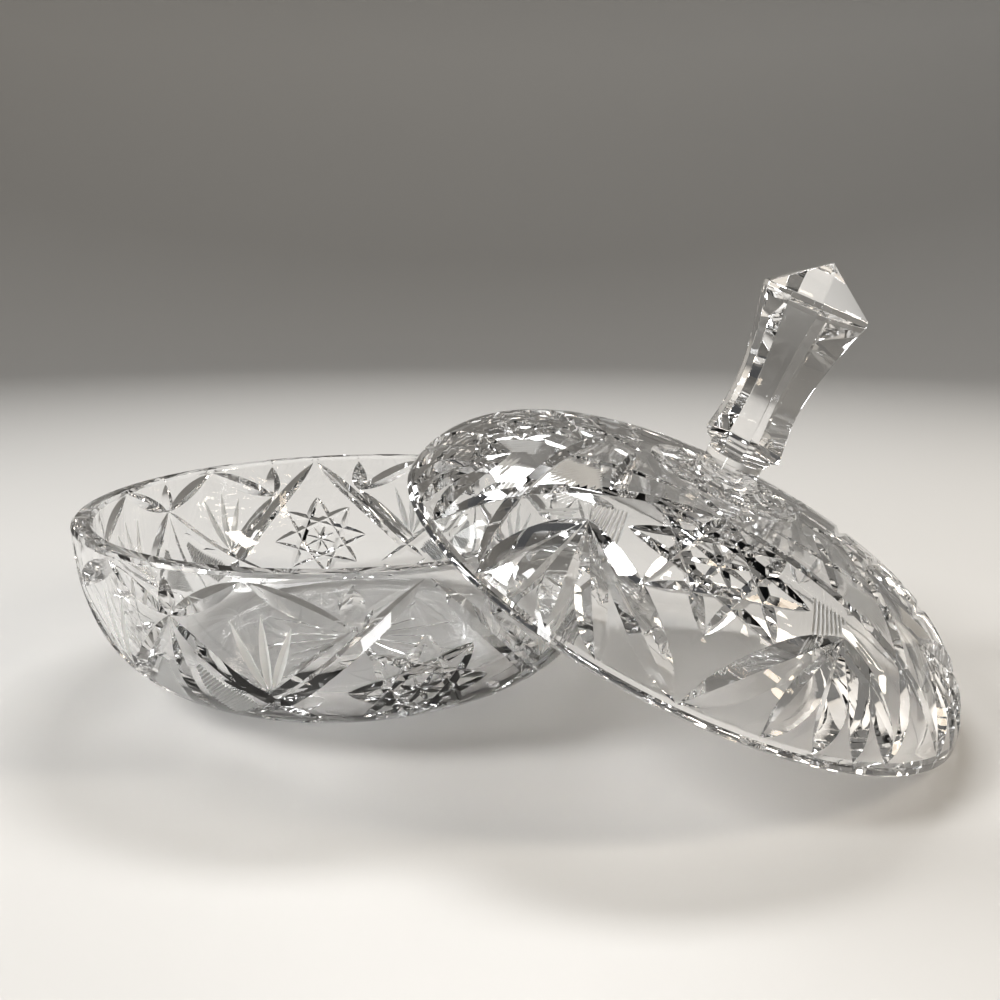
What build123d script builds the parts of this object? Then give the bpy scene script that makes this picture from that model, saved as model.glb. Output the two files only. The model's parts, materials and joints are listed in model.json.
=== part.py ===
from build123d import *
import math
import os

# A covered bowl of cut lead crystal, stored open: the bowl stands on its flat base, and the lid leans
# on the bowl's rim with its far edge on the table. The lid and its six-sided finial are one piece of
# glass. Millimetres and degrees, +Z up, origin at the centre of the bowl's underside.

# Both rims, which match when the jar is closed
rim_radius = 70.0
edge_chamfer = 0.8

# Bowl
bowl_height = 43.0
bowl_wall = 5.0
bowl_floor = 6.0
bowl_wall_arc = 70.0
bowl_corner_arc = 31.0

# Lid shell: its height falls from the crown to the rim as (1 - (r / R) ** fullness) ** roundness
dome_height = 27.5
dome_fullness = 3.0
dome_roundness = 0.555
lid_wall = 6.0
lid_crown_thickness = 5.5
dome_outline_steps = 10

# Ring ridge on the lid around the finial
ring_radius = 17.0
ring_half_width = 1.6
ring_proud = 0.5

# Neck between the dome and the finial
neck_radius = 6.8
neck_foot_radius = 11.0
neck_fillet_top = 31.2
neck_top = 34.2

# Finial: a six-sided column, waisted, with a stepped foot and a pointed crown
foot_radius = 8.6
foot_top = 35.6
column_base = 37.2
waist_radius = 8.75
waist_height = 49.0
waist_flare = 0.029
flare_power = 1.6
girdle_height = 74.0
tip_height = 83.0
tip_flat_radius = 0.7
column_steps = 7
finial_corner_angle = -82.0

# Leaning pose of the lid
lean_angle = 23.65
lean_direction = -18.0
lid_centre_x = 81.0
lid_centre_y = -23.1
table_gap = 0.05


def bowl_side(radius, wall_arc, corner_arc, floor_level):
    """The corner arc's centre, and the point where the wall arc meets the corner arc."""
    wall_centre = Vector(radius - wall_arc, bowl_height)
    rise = bowl_height - floor_level - corner_arc
    reach = math.sqrt((wall_arc - corner_arc) ** 2 - rise ** 2)
    corner_centre = Vector(wall_centre.X + reach, floor_level + corner_arc)
    meeting = wall_centre + (corner_centre - wall_centre).normalized() * wall_arc
    return wall_centre, corner_centre, meeting


def arc_between(centre, start, end):
    """The shorter arc from start to end about centre, in the sketch plane."""
    radius = (start - centre).length
    middle = centre + ((start - centre) + (end - centre)).normalized() * radius
    return ThreePointArc(start, middle, end)


def side_curves(radius, wall_arc, corner_arc, floor_level, top_level):
    """The wall and corner arcs of one face of the bowl, from top_level down to its flat floor."""
    wall_centre, corner_centre, meeting = bowl_side(radius, wall_arc, corner_arc, floor_level)
    drop = bowl_height - top_level
    top = Vector(wall_centre.X + math.sqrt(wall_arc ** 2 - drop ** 2), top_level)
    bottom = Vector(corner_centre.X, floor_level)
    return [arc_between(wall_centre, top, meeting), arc_between(corner_centre, meeting, bottom)]


def make_bowl():
    shoulder = bowl_height - edge_chamfer
    inner_radius = rim_radius - bowl_wall
    outside = side_curves(rim_radius, bowl_wall_arc, bowl_corner_arc, 0, shoulder)
    inside = side_curves(
        inner_radius, bowl_wall_arc - bowl_wall, bowl_corner_arc - bowl_wall, bowl_floor, shoulder
    )
    straight = Polyline(
        inside[0] @ 0,
        (inner_radius + edge_chamfer, bowl_height),
        (rim_radius - edge_chamfer, bowl_height),
        outside[0] @ 0,
    )
    base = Polyline(outside[1] @ 1, (0, 0), (0, bowl_floor), inside[1] @ 1)
    face = make_face([*outside, *inside, straight, base])
    return revolve(Plane.XZ * face, Axis.Z)


def dome_level(distance, radius, height):
    """Height of the dome's surface at a distance from the lid's axis."""
    return height * (1 - (distance / radius) ** dome_fullness) ** dome_roundness


def dome_points(radius, height, innermost):
    """Points on the dome from just above the rim in to a given distance from the axis."""
    turn = math.acos(innermost / radius)
    points = []
    for step in range(1, dome_outline_steps + 1):
        distance = radius * math.cos(turn * step / dome_outline_steps)
        points.append((distance, dome_level(distance, radius, height)))
    return points


def make_lid_dome():
    inner_radius = rim_radius - lid_wall
    inner_height = dome_height - lid_crown_thickness
    outer_points = dome_points(rim_radius, dome_height, neck_foot_radius)
    inner_points = dome_points(inner_radius, inner_height, 0)
    outside = Spline([(rim_radius, edge_chamfer), *outer_points], tangents=[(0, 1), (-1, 0)])
    inside = Spline([(inner_radius, edge_chamfer), *inner_points], tangents=[(0, 1), (-1, 0)])
    rim = Polyline(
        (inner_radius, edge_chamfer),
        (inner_radius + edge_chamfer, 0),
        (rim_radius - edge_chamfer, 0),
        (rim_radius, edge_chamfer),
    )
    foot = outside @ 1
    fillet = SagittaArc(foot, (neck_radius, neck_fillet_top), 0.8)
    neck = Polyline((neck_radius, neck_fillet_top), (neck_radius, neck_top), (0, neck_top), inside @ 1)
    shell = revolve(Plane.XZ * make_face([outside, inside, rim, fillet, neck]), Axis.Z)
    ring_level = dome_level(ring_radius, rim_radius, dome_height)
    ridge = Polyline(
        (ring_radius - ring_half_width, ring_level - 1),
        (ring_radius - ring_half_width / 2, ring_level + ring_proud),
        (ring_radius + ring_half_width / 2, ring_level + ring_proud),
        (ring_radius + ring_half_width, ring_level - 1),
        close=True,
    )
    return shell + revolve(Plane.XZ * make_face(ridge), Axis.Z)


def hexagon(radius, height):
    """A six-sided section of the finial, by the distance from its axis to its corners."""
    corners = [
        (
            radius * math.cos(math.radians(finial_corner_angle + 60 * corner)),
            radius * math.sin(math.radians(finial_corner_angle + 60 * corner)),
            height,
        )
        for corner in range(6)
    ]
    return make_face(Polyline(*corners, close=True))


def column_radius(height):
    return waist_radius + waist_flare * abs(height - waist_height) ** flare_power


def make_lid_finial():
    foot = extrude(hexagon(foot_radius, neck_top), foot_top - neck_top, dir=(0, 0, 1))
    flare = loft([hexagon(foot_radius, foot_top), hexagon(column_radius(column_base), column_base)])
    rise = (girdle_height - column_base) / column_steps
    levels = [column_base + rise * step for step in range(column_steps + 1)]
    column = loft([hexagon(column_radius(level), level) for level in levels], ruled=True)
    crown = loft([hexagon(column_radius(girdle_height), girdle_height), hexagon(tip_flat_radius, tip_height)])
    return foot + flare + column + crown


def leaning_place():
    """Where the leaning lid's own frame lies: its rim plane's centre, +X downhill, +Z along its axis."""
    lean = math.radians(lean_angle)
    heading = math.radians(lean_direction)
    downhill = (
        math.cos(lean) * math.cos(heading),
        math.cos(lean) * math.sin(heading),
        -math.sin(lean),
    )
    axis = (
        math.sin(lean) * math.cos(heading),
        math.sin(lean) * math.sin(heading),
        math.cos(lean),
    )
    level = (rim_radius - edge_chamfer) * math.sin(lean) + table_gap
    return Plane(origin=(lid_centre_x, lid_centre_y, level), x_dir=downhill, z_dir=axis).location


os.makedirs("parts", exist_ok=True)
place = leaning_place()
nodes = {
    "bowl": make_bowl(),
    "lid_dome": place * make_lid_dome(),
    "lid_finial": place * make_lid_finial(),
}
for name, shape in nodes.items():
    export_step(shape, f"parts/{name}.step")
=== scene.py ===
"""Looks of a cut-crystal powder jar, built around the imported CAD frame.

The bowl, the dome of the lid and its finial each replace the CAD node of that place with a finer mesh.
The cuts are real grooves: V-shaped cutters laid along the glass surface and subtracted from it.
Lengths are in millimetres and angles in degrees until a mesh is written in metres.
"""

import json
import math

import bmesh
import bpy
import numpy as np
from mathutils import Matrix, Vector

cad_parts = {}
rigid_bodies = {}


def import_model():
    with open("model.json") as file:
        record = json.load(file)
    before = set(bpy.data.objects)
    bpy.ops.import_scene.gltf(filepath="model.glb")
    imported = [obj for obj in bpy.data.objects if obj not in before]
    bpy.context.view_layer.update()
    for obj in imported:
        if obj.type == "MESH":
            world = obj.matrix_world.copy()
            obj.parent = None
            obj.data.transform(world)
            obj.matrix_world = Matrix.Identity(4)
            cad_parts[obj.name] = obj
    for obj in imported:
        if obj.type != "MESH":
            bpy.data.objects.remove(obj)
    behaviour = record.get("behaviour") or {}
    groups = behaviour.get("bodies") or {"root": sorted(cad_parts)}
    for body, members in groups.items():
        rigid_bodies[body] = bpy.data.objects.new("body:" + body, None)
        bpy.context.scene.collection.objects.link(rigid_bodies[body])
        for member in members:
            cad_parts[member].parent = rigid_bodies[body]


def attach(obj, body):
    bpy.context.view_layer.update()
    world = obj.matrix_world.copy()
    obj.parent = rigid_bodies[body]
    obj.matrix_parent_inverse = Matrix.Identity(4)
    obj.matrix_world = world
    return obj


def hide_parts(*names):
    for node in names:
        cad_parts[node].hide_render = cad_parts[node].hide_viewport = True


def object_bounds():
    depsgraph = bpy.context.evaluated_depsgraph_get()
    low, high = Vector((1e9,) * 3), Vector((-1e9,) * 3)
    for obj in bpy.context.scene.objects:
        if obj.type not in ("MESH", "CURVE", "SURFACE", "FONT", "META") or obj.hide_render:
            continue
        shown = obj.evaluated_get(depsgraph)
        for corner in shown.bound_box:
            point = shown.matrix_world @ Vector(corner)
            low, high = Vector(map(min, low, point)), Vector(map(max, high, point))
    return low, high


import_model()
cad_low, cad_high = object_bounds()

MM = 0.001
# Points nearer than this, in metres, are one point. Any more opens edges in the fine cuts.
MERGE_DISTANCE = 0.0000002

# Shape of the glass, the same values as the CAD model. The rim is 0.05 less than there, so that this finer
# mesh stays inside the box of the coarser CAD mesh.
RIM_RADIUS = 69.95
EDGE_ROUND = 0.8
EDGE_CLEAR = 1.4
BOWL_HEIGHT = 43.0
BOWL_WALL = 5.0
BOWL_FLOOR = 6.0
BOWL_WALL_ARC = 70.0
BOWL_CORNER_ARC = 31.0
DOME_HEIGHT = 27.5
DOME_FULLNESS = 3.0
DOME_ROUNDNESS = 0.555
LID_WALL = 6.0
LID_CROWN = 5.5
RING_RADIUS = 17.0
RING_HALF_WIDTH = 1.6
RING_PROUD = 0.45
NECK_RADIUS = 6.8
NECK_FOOT_RADIUS = 11.0
NECK_FILLET_TOP = 31.2
FILLET_HOLLOW = 0.8
NECK_TOP = 34.2
COLUMN_WAIST_RADIUS = 8.75
COLUMN_WAIST_HEIGHT = 49.0
COLUMN_BASE = 37.2
COLUMN_FLARE = 0.029
COLUMN_FLARE_POWER = 1.6
GIRDLE_HEIGHT = 74.0
GIRDLE_BAND = 1.2
COLUMN_LEVELS = 36
TIP_HEIGHT = 83.0
FINIAL_CORNER = -82.0
LEAN_ANGLE = 23.65
LEAN_DIRECTION = -18.0
LID_CENTRE_X = 81.0
LID_CENTRE_Y = -23.1
TABLE_GAP = 0.05

# Where the fourfold patterns start: the azimuth of one hobstar on each body.
BOWL_PATTERN_AZIMUTH = -70.0
LID_PATTERN_AZIMUTH = -82.0
REPEATS = 4

TURN_STEPS = 360
OUTER_STEP = 1.3
INNER_STEP = 2.0

# Places in each mesh's list of finishes: clear glass, ribbed fields, and fan rays.
POLISHED = 0
MATTE = 1
FROSTED = 2


# ---------------------------------------------------------------- profiles and surfaces

def arc(centre, radius, start, end, count):
    """Points on an arc as (radius, height) pairs."""
    angles = np.radians(np.linspace(start, end, count))
    return np.stack([centre[0] + radius * np.cos(angles), centre[1] + radius * np.sin(angles)], 1)


def spaced(points, step):
    """The same line with points every step along it."""
    points = np.asarray(points, float)
    lengths = np.hypot(*np.diff(points, axis=0).T)
    along = np.concatenate([[0.0], np.cumsum(lengths)])
    count = max(2, int(round(along[-1] / step)) + 1)
    places = np.linspace(0.0, along[-1], count)
    return np.stack([np.interp(places, along, points[:, k]) for k in range(2)], 1)


def bowl_wall(radius, floor, wall_arc, corner_arc):
    """The wall of the bowl from the rim down to the flat part of the floor."""
    offset = radius - wall_arc
    drop = BOWL_HEIGHT - floor - corner_arc
    centre_x = offset + math.sqrt((wall_arc - corner_arc) ** 2 - drop ** 2)
    centre_y = floor + corner_arc
    meeting = math.degrees(math.atan2(centre_y - BOWL_HEIGHT, centre_x - offset))
    wall = arc((offset, BOWL_HEIGHT), wall_arc, 0.0, meeting, 120)
    corner = arc((centre_x, centre_y), corner_arc, meeting, -90.0, 120)
    return np.vstack([wall, corner[1:]])


def dome_level(radius, outer_radius, height):
    """Height of the dome at a distance from its axis."""
    share = np.clip(np.asarray(radius, float) / outer_radius, 0.0, 1.0)
    return height * (1.0 - share ** DOME_FULLNESS) ** DOME_ROUNDNESS


def dome_line(outer_radius, height):
    """The dome from its crown to its rim, with points crowding where it turns down."""
    radii = outer_radius * np.sin(np.linspace(0.0, math.pi / 2.0, 500))
    return np.stack([radii, dome_level(radii, outer_radius, height)], 1)


class Surface:
    """A turned glass surface. A place on it is an azimuth and a distance along its profile."""

    def __init__(self, line):
        self.line = spaced(line, 0.05)
        steps = np.hypot(*np.diff(self.line, axis=0).T)
        self.along = np.concatenate([[0.0], np.cumsum(steps)])
        slope = np.gradient(self.line, axis=0)
        slope /= np.linalg.norm(slope, axis=1)[:, None]
        self.normal = np.stack([-slope[:, 1], slope[:, 0]], 1)

    def radius(self, distance):
        return float(np.interp(distance, self.along, self.line[:, 0]))

    def point(self, azimuth, distance):
        turn = math.radians(azimuth)
        radius = self.radius(distance)
        height = float(np.interp(distance, self.along, self.line[:, 1]))
        return np.array([radius * math.cos(turn), radius * math.sin(turn), height])

    def settle(self, points):
        """The nearest places on the surface to some points, and the outward normals there."""
        points = np.asarray(points, float)
        reach = np.hypot(points[:, 0], points[:, 1])
        gap = (reach[:, None] - self.line[None, :, 0]) ** 2
        gap += (points[:, 2][:, None] - self.line[None, :, 1]) ** 2
        nearest = gap.argmin(1)
        around = np.stack([points[:, 0], points[:, 1]], 1) / np.maximum(reach, 1e-6)[:, None]
        found = self.line[nearest]
        lean = self.normal[nearest]
        places = np.column_stack([around * found[:, :1], found[:, 1]])
        normals = np.column_stack([around * lean[:, :1], lean[:, 1]])
        return places, normals

    def local(self, azimuth, distance, across, down):
        """A point reached from a place by going across and down in the plane that touches there."""
        base = self.point(azimuth, distance)
        turn = math.radians(azimuth)
        sideways = np.array([-math.sin(turn), math.cos(turn), 0.0])
        low = self.point(azimuth, min(distance + 0.5, self.along[-1]))
        high = self.point(azimuth, max(distance - 0.5, 0.0))
        downward = (low - high) / np.linalg.norm(low - high)
        return base + sideways * across + downward * down


# ---------------------------------------------------------------- cutters

class Cutters:
    """Collects groove cutters for one body. Copies of a cutter that can't touch share an object."""

    def __init__(self, surface, start_azimuth):
        self.surface = surface
        self.start = start_azimuth
        self.groups = []

    def add(self, shapes, material=POLISHED, repeats=REPEATS):
        """One object of several shapes, repeated around the axis."""
        vertices = []
        faces = []
        for k in range(repeats):
            turn = math.radians(self.start + k * 360.0 / repeats)
            spin = np.array([[math.cos(turn), -math.sin(turn), 0.0],
                             [math.sin(turn), math.cos(turn), 0.0],
                             [0.0, 0.0, 1.0]])
            for points, shape_faces in shapes:
                first = len(vertices)
                vertices.extend(points @ spin.T)
                faces.extend([tuple(first + i for i in face) for face in shape_faces])
        self.groups.append((np.array(vertices), faces, material))

    def groove(self, start, end, width, angle=55.0, peak=0.5, power=2.0, overrun=0.04, lift=1.2,
               stations=15, plane=False):
        """A V groove from one place to another.

        Its width and depth swell towards the peak and fade at both ends.
        """
        if plane:
            first, last = np.asarray(start, float), np.asarray(end, float)
        else:
            first, last = self.surface.point(*start), self.surface.point(*end)
        share = np.linspace(-overrun, 1.0 + overrun, stations)
        centres, normals = self.surface.settle(first + share[:, None] * (last - first))
        side = np.where(share < peak, (peak - share) / peak, (share - peak) / (1.0 - peak))
        swell = 1.0 - np.abs(side) ** power
        slope = math.tan(math.radians(angle))
        depth = np.maximum(width * 0.5 / slope * swell, -0.35 * lift)
        ahead = np.gradient(centres, axis=0)
        across = np.cross(normals, ahead)
        across /= np.linalg.norm(across, axis=1)[:, None]
        half = ((depth + lift) * slope)[:, None]
        bottom = centres - normals * depth[:, None]
        left = centres + normals * lift + across * half
        right = centres + normals * lift - across * half
        points = np.stack([bottom, left, right], 1).reshape(-1, 3)
        return points, prism_faces(stations)

    def both(self, start, end, width, material=POLISHED, **options):
        """A groove and its mirror image in the middle of the repeat, as two objects."""
        for sign in (1.0, -1.0):
            one = (sign * start[0], start[1])
            two = (sign * end[0], end[1])
            self.add([self.groove(one, two, width, **options)], material)

    def single(self, start, end, width, material=POLISHED, **options):
        self.add([self.groove(start, end, width, **options)], material)

    def hobstar(self, centre, radius, width, hub_width):
        """Eight points joined by long cuts, around a raised middle with its own small star."""
        azimuth, distance = centre
        tips = []
        for k in range(8):
            turn = math.radians(45.0 * k)
            across = radius * math.sin(turn)
            down = radius * math.cos(turn)
            tips.append(self.surface.local(azimuth, distance, across, down))
        for k in range(8):
            shape = self.groove(tips[k], tips[(k + 3) % 8], width, power=5.0, overrun=0.02, plane=True)
            self.add([shape])
        hub = radius * 0.40
        for k in range(4):
            turn = math.radians(45.0 * k + 22.5)
            reach = np.array([math.sin(turn), math.cos(turn)]) * hub
            one = self.surface.local(azimuth, distance, reach[0], reach[1])
            two = self.surface.local(azimuth, distance, -reach[0], -reach[1])
            self.add([self.groove(one, two, hub_width, angle=52.0, plane=True)])

    def ribs(self, corners, pitch, direction=None, mirrored=True, material=MATTE, angle=40.0):
        """Fine parallel ridges that fill a field.

        They run in a direction given as across and down, or else along the edge from the first corner to the
        second.
        """
        middle = np.mean(corners, axis=0)
        reach = self.surface.radius(middle[1])
        flat = [((a - middle[0]) * math.radians(1.0) * reach, d - middle[1]) for a, d in corners]
        along = np.subtract(flat[1], flat[0]) if direction is None else np.array(direction, float)
        along /= np.linalg.norm(along)
        across = np.array([-along[1], along[0]])
        offsets = np.array(flat) @ across
        low, high = offsets.min(), offsets.max()
        count = max(2, int((high - low) / pitch))
        for sign in ((1.0, -1.0) if mirrored else (1.0,)):
            sets = [[], []]
            for k in range(count):
                level = low + (k + 0.5) * (high - low) / count
                hits = []
                for one, two in zip(flat, flat[1:] + flat[:1]):
                    side_one = np.dot(one, across) - level
                    side_two = np.dot(two, across) - level
                    if side_one * side_two < 0.0:
                        share = side_one / (side_one - side_two)
                        hits.append(np.add(one, np.subtract(two, one) * share))
                if len(hits) < 2:
                    continue
                hits.sort(key=lambda hit: float(np.dot(hit, along)))
                one, two = hits[0], hits[-1]
                if np.linalg.norm(two - one) < 1.2:
                    continue
                places = []
                for hit in (one, two):
                    azimuth = middle[0] + math.degrees(hit[0] / reach)
                    places.append((sign * azimuth, middle[1] + hit[1]))
                shape = self.groove(places[0], places[1], pitch * 1.02, angle=angle, power=14.0,
                                    overrun=0.03, lift=0.25, stations=8)
                sets[k % 2].append(shape)
            for group in sets:
                if group:
                    self.add(group, material)

    def objects(self, collection, materials):
        for vertices, faces, material in self.groups:
            mesh = bpy.data.meshes.new("cutter")
            mesh.from_pydata((vertices * MM).tolist(), [], faces)
            for item in materials:
                mesh.materials.append(item)
            mesh.polygons.foreach_set("material_index", [material] * len(mesh.polygons))
            collection.objects.link(bpy.data.objects.new("cutter", mesh))


def prism_faces(stations):
    """Faces of a long three-sided prism with points three to a station."""
    faces = [(0, 1, 2)]
    for k in range(stations - 1):
        a = 3 * k
        b = a + 3
        faces.append((a, b, b + 1, a + 1))
        faces.append((a + 1, b + 1, b + 2, a + 2))
        faces.append((a + 2, b + 2, b, a))
    last = 3 * (stations - 1)
    faces.append((last, last + 2, last + 1))
    return faces


# ---------------------------------------------------------------- meshes

def turned(profile, steps=TURN_STEPS):
    """A solid of revolution from a profile that starts and ends on the axis."""
    inner = profile[1:-1]
    vertices = [(0.0, 0.0, profile[0][1])]
    for radius, height in inner:
        for k in range(steps):
            turn = 2.0 * math.pi * k / steps
            vertices.append((radius * math.cos(turn), radius * math.sin(turn), height))
    vertices.append((0.0, 0.0, profile[-1][1]))
    last = len(vertices) - 1
    faces = []
    for k in range(steps):
        after = (k + 1) % steps
        faces.append((0, 1 + after, 1 + k))
        for row in range(len(inner) - 1):
            a = 1 + row * steps
            b = a + steps
            faces.append((a + k, a + after, b + after, b + k))
        a = 1 + (len(inner) - 1) * steps
        faces.append((a + k, a + after, last))
    return np.array(vertices), faces


def make_mesh(name, vertices, faces, materials):
    mesh = bpy.data.meshes.new(name)
    mesh.from_pydata((np.asarray(vertices) * MM).tolist(), [], faces)
    for item in materials:
        mesh.materials.append(item)
    thing = bpy.data.objects.new(name, mesh)
    bpy.context.scene.collection.objects.link(thing)
    return thing


def face_outward(thing):
    """Turns every face outward, so that booleans and glass agree on what is inside."""
    work = bmesh.new()
    work.from_mesh(thing.data)
    bmesh.ops.recalc_face_normals(work, faces=work.faces)
    work.to_mesh(thing.data)
    work.free()


def carve(thing, cutters, materials, sharp=17.0):
    """Subtracts all the cutters and shades the rest smooth, with crisp edges at the cuts."""
    folder = bpy.data.collections.new(thing.name + "_cutters")
    bpy.context.scene.collection.children.link(folder)
    cutters.objects(folder, materials)
    face_outward(thing)
    for cutter in folder.objects:
        face_outward(cutter)
    step = thing.modifiers.new("cuts", "BOOLEAN")
    step.operation = "DIFFERENCE"
    step.solver = "MANIFOLD"
    step.operand_type = "COLLECTION"
    step.collection = folder
    bpy.context.view_layer.update()
    graph = bpy.context.evaluated_depsgraph_get()
    result = bpy.data.meshes.new_from_object(thing.evaluated_get(graph))
    thing.modifiers.clear()
    thing.data = result
    for cutter in list(folder.objects):
        bpy.data.objects.remove(cutter)
    bpy.data.collections.remove(folder)
    finish_mesh(thing, sharp)


def finish_mesh(thing, sharp):
    work = bmesh.new()
    work.from_mesh(thing.data)
    bmesh.ops.remove_doubles(work, verts=work.verts, dist=MERGE_DISTANCE)
    bmesh.ops.dissolve_degenerate(work, edges=work.edges, dist=MERGE_DISTANCE)
    bmesh.ops.triangulate(work, faces=[f for f in work.faces if len(f.verts) > 4])
    faults = sum(1 for edge in work.edges if not edge.is_manifold)
    work.to_mesh(thing.data)
    work.free()
    mesh = thing.data
    mesh.polygons.foreach_set("use_smooth", [True] * len(mesh.polygons))
    mesh.set_sharp_from_angle(angle=math.radians(sharp))
    print(thing.name, "faces", len(mesh.polygons), "vertices", len(mesh.vertices),
          "open or shared edges", faults)


# ---------------------------------------------------------------- materials

def crystal(name, base, clear=1.0, roughness=0.0, rough_spread=0.03, wave_size=(45.0, 0.00006),
            speck_size=(900.0, 0.0000008)):
    """Lead crystal with slight waviness, and fine specks of wear in its polish or of grain in its frosting.

    clear is how much light passes through. A size is a noise scale and a bump depth in metres.
    """
    material = bpy.data.materials.new(name)
    material.use_nodes = True
    nodes = material.node_tree.nodes
    links = material.node_tree.links
    shader = nodes["Principled BSDF"]
    shader.inputs["Base Color"].default_value = base
    shader.inputs["Transmission Weight"].default_value = clear
    shader.inputs["IOR"].default_value = 1.545
    place = nodes.new("ShaderNodeTexCoord")
    wave = nodes.new("ShaderNodeTexNoise")
    wave.inputs["Scale"].default_value = wave_size[0]
    wave.inputs["Detail"].default_value = 2.0
    speck = nodes.new("ShaderNodeTexNoise")
    speck.inputs["Scale"].default_value = speck_size[0]
    speck.inputs["Detail"].default_value = 4.0
    links.new(place.outputs["Object"], wave.inputs["Vector"])
    links.new(place.outputs["Object"], speck.inputs["Vector"])
    spread = nodes.new("ShaderNodeMapRange")
    spread.inputs["From Min"].default_value = 0.35
    spread.inputs["From Max"].default_value = 0.75
    spread.inputs["To Min"].default_value = roughness
    spread.inputs["To Max"].default_value = roughness + rough_spread
    links.new(speck.outputs["Fac"], spread.inputs["Value"])
    links.new(spread.outputs["Result"], shader.inputs["Roughness"])
    coarse = nodes.new("ShaderNodeBump")
    coarse.inputs["Strength"].default_value = 1.0
    coarse.inputs["Distance"].default_value = wave_size[1]
    fine = nodes.new("ShaderNodeBump")
    fine.inputs["Strength"].default_value = 1.0
    fine.inputs["Distance"].default_value = speck_size[1]
    links.new(wave.outputs["Fac"], coarse.inputs["Height"])
    links.new(speck.outputs["Fac"], fine.inputs["Height"])
    links.new(coarse.outputs["Normal"], fine.inputs["Normal"])
    links.new(fine.outputs["Normal"], shader.inputs["Normal"])
    return material


GLASS = (1.0, 1.0, 1.0, 1.0)
FROST_WAVE = (120.0, 0.00002)
FROST_GRAIN = (2500.0, 0.000003)
polished = crystal("polished_crystal", GLASS)
finial_polished = crystal("finial_crystal", GLASS, wave_size=(40.0, 0.00008))
matte = crystal("matte_crystal", (0.52, 0.52, 0.51, 1.0), 0.35, 0.4, 0.2, FROST_WAVE, FROST_GRAIN)
frosted = crystal("frosted_crystal", (0.9, 0.9, 0.88, 1.0), 0.3, 0.4, 0.2, FROST_WAVE, FROST_GRAIN)
finishes = (polished, matte, frosted)


# ---------------------------------------------------------------- the bowl

def bevelled_corner(corner, before, after, size, soft=0.12):
    """A flat bevel between two straight directions, with its own two edges just taken off."""
    corner = np.asarray(corner, float)
    before = np.asarray(before, float)
    after = np.asarray(after, float)
    one = corner + before * size
    two = corner + after * size
    slope = (two - one) / np.linalg.norm(two - one)
    return np.array([one + before * soft, one + slope * soft, two - slope * soft, two + after * soft])


bowl_outside = bowl_wall(RIM_RADIUS, 0.0, BOWL_WALL_ARC, BOWL_CORNER_ARC)
bowl_inside = bowl_wall(RIM_RADIUS - BOWL_WALL, BOWL_FLOOR, BOWL_WALL_ARC - BOWL_WALL,
                        BOWL_CORNER_ARC - BOWL_WALL)
bowl_skin = Surface(np.vstack([bowl_outside, [[0.0, 0.0]]]))

outer = spaced(bowl_outside[bowl_outside[:, 1] < BOWL_HEIGHT - EDGE_CLEAR], OUTER_STEP)[::-1]
inner = spaced(bowl_inside[bowl_inside[:, 1] < BOWL_HEIGHT - EDGE_CLEAR], INNER_STEP)
rim_out = bevelled_corner((RIM_RADIUS, BOWL_HEIGHT), (0, -1), (-1, 0), EDGE_ROUND)
rim_in = bevelled_corner((RIM_RADIUS - BOWL_WALL, BOWL_HEIGHT), (1, 0), (0, -1), EDGE_ROUND)
flat_rings = (0.0, 12.0, 24.0, 32.0)
flat_out = [(r, 0.0) for r in flat_rings]
flat_in = [(r, BOWL_FLOOR) for r in reversed(flat_rings)]
bowl_profile = np.vstack([flat_out, outer, rim_out, rim_in, inner, flat_in])
bowl_vertices, bowl_faces = turned(bowl_profile)
bowl = make_mesh("bowl_glass", bowl_vertices, bowl_faces, finishes)

# A place on the bowl is an azimuth from the hobstar's middle and a distance down the wall from the rim.
# The pattern mirrors about the hobstar, and each repeat ends at the seam.
cuts = Cutters(bowl_skin, BOWL_PATTERN_AZIMUTH)
HOB = 0.0
FAN = 30.0
SEAM = 45.0
junction = (12.3, 12.2)
seam_junction = (SEAM, 10.8)
fan_root = (28.0, 28.4)
cuts.hobstar((HOB, 29.0), 15.8, 2.7, 1.7)
# Long bar from above the hobstar, past the fan's root
cuts.both((HOB + 0.6, 2.2), (33.0, 36.5), 4.0, power=4.0, angle=50.0)
# Leaves over the fan, and the bars that close its field below
cuts.both((FAN - 0.4, 1.8), junction, 4.6, power=2.2, angle=52.0)
cuts.both((FAN + 0.4, 1.8), seam_junction, 4.2, power=2.2, angle=52.0)
cuts.both(junction, (fan_root[0] + 1.5, fan_root[1] + 1.5), 3.4, power=3.0, angle=50.0)
cuts.both(seam_junction, (19.0, 39.0), 3.4, power=4.0, angle=50.0)
# Three rays of the fan
cuts.both((fan_root[0] - 0.2, fan_root[1] - 0.5), (27.4, 8.6), 2.1, FROSTED, peak=0.45, angle=46.0)
cuts.both((fan_root[0] + 0.2, fan_root[1] - 0.5), (33.0, 9.8), 2.0, FROSTED, peak=0.45, angle=46.0)
cuts.both((fan_root[0] - 0.6, fan_root[1] - 0.5), (22.4, 11.2), 2.0, FROSTED, peak=0.45, angle=46.0)
# Petals under the rim, and the long leaf down the seam
cuts.both((12.1, 2.3), (12.4, 12.4), 5.2, peak=0.6, angle=48.0)
cuts.single((SEAM, 2.3), (SEAM, 11.2), 4.6, peak=0.6, angle=48.0)
cuts.single((SEAM, 12.0), (SEAM, 41.0), 3.4, power=2.0, peak=0.6)
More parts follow.
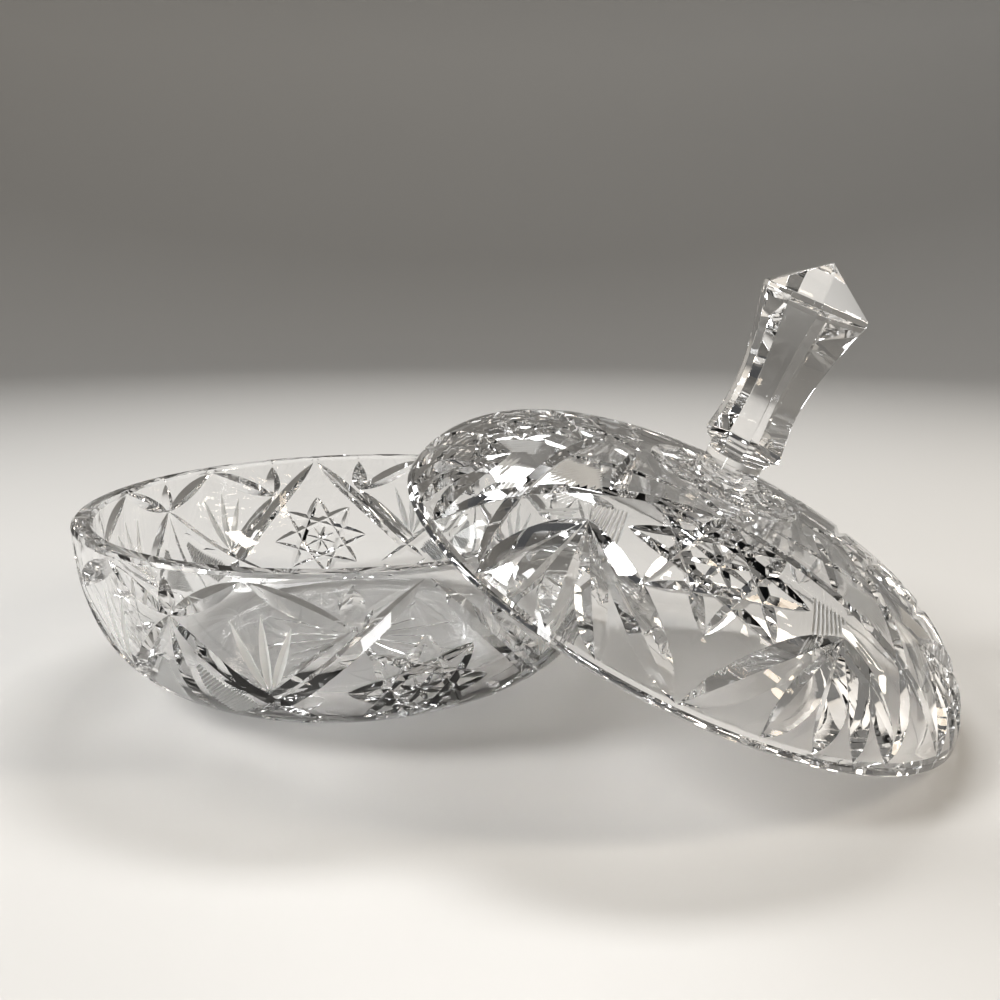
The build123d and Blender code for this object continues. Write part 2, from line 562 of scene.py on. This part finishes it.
# Lens leaf beside the fan's root, and the leaf that parts the two ribbed fields
cuts.both((27.4, 28.6), (36.8, 25.4), 2.7, peak=0.55)
cuts.both((41.4, 18.6), (31.2, 24.6), 1.5, power=3.0)
ridge_direction = (-1.0, -0.9)
cuts.ribs([(42.3, 14.5), (40.6, 18.6), (34.4, 22.3)], 0.75, ridge_direction)
cuts.ribs([(41.6, 20.4), (36.5, 26.8), (32.2, 30.6), (31.4, 33.4), (39.6, 39.4), (41.8, 31.0)], 0.75,
          ridge_direction)
# Small leaves near the base
cuts.both((34.0, 37.0), (30.5, 45.0), 2.6, power=2.0)
cuts.both((20.0, 40.5), (27.0, 45.5), 2.6, power=2.0)

# Star under the base, each kind of ray as its reach and its width
BASE_RAYS = 16
BASE_RAY_START = 2.2
LONG_RAY = (31.0, 2.6)
SHORT_RAY = (21.0, 1.8)
total = bowl_skin.along[-1]
for k in range(BASE_RAYS):
    reach, width = LONG_RAY if k % 2 == 0 else SHORT_RAY
    azimuth = 360.0 / BASE_RAYS * k
    ray = cuts.groove((azimuth, total - BASE_RAY_START), (azimuth, total - reach), width, peak=0.62)
    cuts.add([ray], POLISHED, 1)
carve(bowl, cuts, finishes)

# ---------------------------------------------------------------- the lid

lid_skin = Surface(dome_line(RIM_RADIUS, DOME_HEIGHT))
inside_height = DOME_HEIGHT - LID_CROWN
inside_line = dome_line(RIM_RADIUS - LID_WALL, inside_height)
outside_line = dome_line(RIM_RADIUS, DOME_HEIGHT)
ring_in = RING_RADIUS - RING_HALF_WIDTH
ring_out = RING_RADIUS + RING_HALF_WIDTH

neck_base_level = float(dome_level(NECK_FOOT_RADIUS, RIM_RADIUS, DOME_HEIGHT))
chord = np.array([NECK_RADIUS - NECK_FOOT_RADIUS, NECK_FILLET_TOP - neck_base_level])
bulge = np.array([-chord[1], chord[0]]) / np.linalg.norm(chord)
share = np.linspace(0.0, 1.0, 9)[:, None]
neck_fillet = np.array([NECK_FOOT_RADIUS, neck_base_level]) + share * chord
neck_fillet = neck_fillet + bulge * FILLET_HOLLOW * 4.0 * share * (1.0 - share)

crown_part = [(r, float(dome_level(r, RIM_RADIUS, DOME_HEIGHT))) for r in (12.4, 13.9, ring_in)]
band = []
for r in (ring_in + 0.25, RING_RADIUS - 0.6, RING_RADIUS + 0.6, ring_out - 0.25):
    band.append((r, float(dome_level(r, RIM_RADIUS, DOME_HEIGHT)) + RING_PROUD))
dome_part = spaced(outside_line[outside_line[:, 0] >= ring_out], OUTER_STEP)
dome_part = dome_part[dome_part[:, 1] > EDGE_CLEAR]
lid_rim_out = bevelled_corner((RIM_RADIUS, 0.0), (0, 1), (-1, 0), EDGE_ROUND)
lid_rim_in = bevelled_corner((RIM_RADIUS - LID_WALL, 0.0), (1, 0), (0, 1), EDGE_ROUND)
hollow = spaced(inside_line, INNER_STEP)
hollow = hollow[(hollow[:, 1] > EDGE_CLEAR) & (hollow[:, 0] > 1.0)][::-1]
neck_part = [(0.0, NECK_TOP), (3.4, NECK_TOP), (NECK_RADIUS, NECK_TOP), (NECK_RADIUS, 32.6)]
lid_profile = np.vstack([neck_part, neck_fillet[::-1], crown_part, band, dome_part, lid_rim_out,
                         lid_rim_in, hollow, [(0.0, inside_height)]])
lid_vertices, lid_faces = turned(lid_profile)
dome = make_mesh("lid_dome_glass", lid_vertices, lid_faces, finishes)

# A place on the lid is an azimuth from the hobstar's middle and a distance down the dome from its crown.
cuts = Cutters(lid_skin, LID_PATTERN_AZIMUTH)
MIDDLE = 45.0
palm_root = (29.6, 55.4)
node = (34.0, 44.6)
cuts.hobstar((0.0, 47.5), 19.3, 3.1, 2.2)
# Palm leaves, as the azimuth of each tip and the leaf's width
for tip_azimuth, width in ((0.4, 7.2), (13.2, 6.4), (22.0, 6.4), (29.8, 5.6), (37.2, 5.4)):
    cuts.both(palm_root, (tip_azimuth, 78.6), width, peak=0.6, power=2.6, angle=50.0)
# Long bar, then two shorter bars towards the ring
cuts.both((0.4, 29.4), (MIDDLE + 7.5, 77.6), 3.2, power=6.0)
cuts.both(node, (MIDDLE + 22.0, 24.0), 2.4, power=4.0)
cuts.both((0.8, 29.0), (17.0, 21.5), 2.4, power=2.5)
# Three ribbed fields round the root of the palm
cuts.ribs([(25.2, 46.5), (20.4, 57.4), (29.0, 55.0), (32.4, 50.5)], 0.88)
cuts.ribs([(33.0, 53.6), (38.5, 61.5), (31.6, 58.6)], 0.88)
cuts.ribs([(MIDDLE, 39.0), (MIDDLE, 54.5), (MIDDLE - 9.5, 45.2)], 0.88)

NECK_LEAVES = 12
for k in range(NECK_LEAVES):
    azimuth = 360.0 / NECK_LEAVES * k
    leaf = cuts.groove((azimuth, 8.6), (azimuth, 15.0), 2.6, lift=4.0, peak=0.6)
    cuts.add([leaf], POLISHED, 1)

TICKS = 112
TICK_OVERRUN = 0.2
TICK_DEPTH = 0.34
TICK_HALF_WIDTH = 0.44
TICK_LIFT = 0.12
ticks = []
for k in range(TICKS):
    azimuth = 360.0 / TICKS * k
    top = lid_skin.point(azimuth, RING_RADIUS)
    turn = math.radians(azimuth)
    outward = np.array([math.cos(turn), math.sin(turn), 0.0])
    sideways = np.array([-math.sin(turn), math.cos(turn), 0.0])
    points = []
    for reach in (-RING_HALF_WIDTH - TICK_OVERRUN, RING_HALF_WIDTH + TICK_OVERRUN):
        spot = top + outward * reach + np.array([0.0, 0.0, RING_PROUD])
        points.append(spot - np.array([0.0, 0.0, TICK_DEPTH]))
        points.append(spot + sideways * TICK_HALF_WIDTH + np.array([0.0, 0.0, TICK_LIFT]))
        points.append(spot - sideways * TICK_HALF_WIDTH + np.array([0.0, 0.0, TICK_LIFT]))
    ticks.append((np.array(points), prism_faces(2)))
cuts.add(ticks, POLISHED, 1)
carve(dome, cuts, finishes)

# ---------------------------------------------------------------- the finial

def column_radius(height):
    return COLUMN_WAIST_RADIUS + COLUMN_FLARE * abs(height - COLUMN_WAIST_HEIGHT) ** COLUMN_FLARE_POWER


def hexagon(radius, height):
    points = []
    for k in range(6):
        turn = math.radians(FINIAL_CORNER + 60.0 * k)
        points.append((radius * math.cos(turn), radius * math.sin(turn), height))
    return points


def faceted(levels, tip):
    """Six-sided levels joined into a closed column with a pointed top."""
    vertices = []
    faces = []
    for radius, height in levels:
        vertices.extend(hexagon(radius, height))
    faces.append(tuple(range(6))[::-1])
    for row in range(len(levels) - 1):
        for k in range(6):
            after = (k + 1) % 6
            a = row * 6
            faces.append((a + k, a + after, a + 6 + after, a + 6 + k))
    vertices.append((0.0, 0.0, tip))
    top = (len(levels) - 1) * 6
    for k in range(6):
        faces.append((top + k, top + (k + 1) % 6, len(vertices) - 1))
    return np.array(vertices), faces


# The stepped foot, as radius and height, then the waisted column and the flat band round its crown.
levels = [(7.2, NECK_TOP + 0.02), (7.5, 34.5), (7.5, 35.3), (8.2, 35.5), (8.4, 35.7), (8.4, 36.4)]
for height in np.linspace(COLUMN_BASE, GIRDLE_HEIGHT - GIRDLE_BAND, COLUMN_LEVELS):
    levels.append((column_radius(height), float(height)))
girdle = column_radius(GIRDLE_HEIGHT - GIRDLE_BAND)
levels.append((girdle, GIRDLE_HEIGHT))
finial_vertices, finial_faces = faceted(levels, TIP_HEIGHT)
finial = make_mesh("lid_finial_glass", finial_vertices, finial_faces, (finial_polished,))
face_outward(finial)
FACET_BEVEL = 0.22
bevel = finial.modifiers.new("edges", "BEVEL")
bevel.width = FACET_BEVEL * MM
bevel.segments = 2
bevel.limit_method = "ANGLE"
bevel.angle_limit = math.radians(22.0)
graph = bpy.context.evaluated_depsgraph_get()
finial_mesh = bpy.data.meshes.new_from_object(finial.evaluated_get(graph))
finial.modifiers.clear()
finial.data = finial_mesh
finish_mesh(finial, 14.0)

# ---------------------------------------------------------------- placing the lid

tilt = math.radians(LEAN_ANGLE)
heading = math.radians(LEAN_DIRECTION)
lowest_reach = RIM_RADIUS - EDGE_ROUND
lid_origin = np.array([LID_CENTRE_X, LID_CENTRE_Y, lowest_reach * math.sin(tilt) + TABLE_GAP])
axis_x = np.array([math.cos(tilt) * math.cos(heading), math.cos(tilt) * math.sin(heading), -math.sin(tilt)])
axis_z = np.array([math.sin(tilt) * math.cos(heading), math.sin(tilt) * math.sin(heading), math.cos(tilt)])
axis_y = np.cross(axis_z, axis_x)
for thing in (dome, finial):
    mesh = thing.data
    places = np.empty(len(mesh.vertices) * 3)
    mesh.vertices.foreach_get("co", places)
    places = places.reshape(-1, 3)
    moved = places @ np.stack([axis_x, axis_y, axis_z]) + lid_origin * MM
    mesh.vertices.foreach_set("co", moved.ravel())
    mesh.update()

for thing, body, node_name, slot_name in (
    (bowl, "bowl", "bowl", "bowl_crystal"),
    (dome, "lid", "lid_dome", "lid_crystal"),
    (finial, "lid", "lid_finial", "finial_crystal"),
):
    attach(thing, body)
    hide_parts(node_name)

# ---------------------------------------------------------------- floor, light and camera

STAGE_REACH = 1.0
STAGE_SWEEP = 0.5
STAGE_TOP = 1.9
STAGE_STEPS = 96
STAGE_GAP = 0.0003
stage_line = [(0.5, 0.0), (STAGE_REACH, 0.0)]
for k in range(1, 13):
    turn = math.radians(90.0 * k / 12)
    stage_line.append((STAGE_REACH + STAGE_SWEEP * math.sin(turn), STAGE_SWEEP * (1.0 - math.cos(turn))))
stage_line.append((STAGE_REACH + STAGE_SWEEP, STAGE_TOP))
floor_vertices = [(0.0, 0.0, 0.0)]
for reach, height in stage_line:
    for k in range(STAGE_STEPS):
        turn = 2.0 * math.pi * k / STAGE_STEPS
        floor_vertices.append((reach * math.cos(turn), reach * math.sin(turn), height))
floor_faces = []
for k in range(STAGE_STEPS):
    after = (k + 1) % STAGE_STEPS
    floor_faces.append((0, 1 + k, 1 + after))
    for row in range(len(stage_line) - 1):
        a = 1 + row * STAGE_STEPS
        b = a + STAGE_STEPS
        floor_faces.append((a + k, b + k, b + after, a + after))
floor_mesh = bpy.data.meshes.new("floor")
floor_mesh.from_pydata(floor_vertices, [], floor_faces)
floor_mesh.polygons.foreach_set("use_smooth", [True] * len(floor_faces))
floor = bpy.data.objects.new("floor", floor_mesh)
# A hair under the glass, so that the two don't share a plane.
floor.location.z = -STAGE_GAP
bpy.context.scene.collection.objects.link(floor)
paper = bpy.data.materials.new("pale_floor")
paper.use_nodes = True
paper_shader = paper.node_tree.nodes["Principled BSDF"]
paper_shader.inputs["Base Color"].default_value = (0.56, 0.55, 0.53, 1.0)
paper_shader.inputs["Roughness"].default_value = 0.45
floor_mesh.materials.append(paper)


def soft_light(name, place, target, size, power, colour=(1.0, 1.0, 1.0)):
    data = bpy.data.lights.new(name, "AREA")
    data.shape = "RECTANGLE"
    data.size, data.size_y = size
    data.energy = power
    data.color = colour
    lamp = bpy.data.objects.new(name, data)
    bpy.context.scene.collection.objects.link(lamp)
    lamp.location = place
    direction = np.subtract(target, place)
    lamp.rotation_euler = Vector(direction).to_track_quat("-Z", "Y").to_euler()


middle = tuple((cad_low + cad_high) / 2)
soft_light("key_left", (-0.55, -0.25, 0.55), middle, (0.18, 0.30), 5.6)
soft_light("fill_right", (0.75, -0.1, 0.45), middle, (0.12, 0.45), 4.0, (1.0, 0.92, 0.82))
soft_light("top_back", (0.05, 0.45, 0.75), middle, (0.42, 0.14), 5.2)
soft_light("low_strip_left", (-0.32, -0.42, 0.16), middle, (0.05, 0.22), 0.5)
soft_light("low_strip_right", (0.45, -0.38, 0.22), middle, (0.04, 0.22), 0.45, (1.0, 0.85, 0.68))

world = bpy.data.worlds.new("studio")
bpy.context.scene.world = world
world.use_nodes = True
background = world.node_tree.nodes["Background"]
background.inputs["Color"].default_value = (0.9, 0.93, 1.0, 1.0)
background.inputs["Strength"].default_value = 0.06

CAMERA_PLACE = (0.03833, -0.24957, 0.09758)
CAMERA_PITCH = 8.93
CAMERA_LENS = 34.38
CAMERA_SHIFT = -0.059
camera_data = bpy.data.cameras.new("camera")
camera_data.lens = CAMERA_LENS
camera_data.sensor_width = 36.0
camera_data.shift_y = CAMERA_SHIFT
camera_data.clip_start = 0.01
camera = bpy.data.objects.new("camera", camera_data)
bpy.context.scene.collection.objects.link(camera)
camera.location = CAMERA_PLACE
camera.rotation_euler = (math.radians(90.0 - CAMERA_PITCH), 0.0, 0.0)
bpy.context.scene.camera = camera

cycles = bpy.context.scene.cycles
cycles.max_bounces = 24
cycles.transmission_bounces = 24
cycles.glossy_bounces = 8
cycles.transparent_max_bounces = 16
bpy.context.scene.view_settings.view_transform = "Standard"
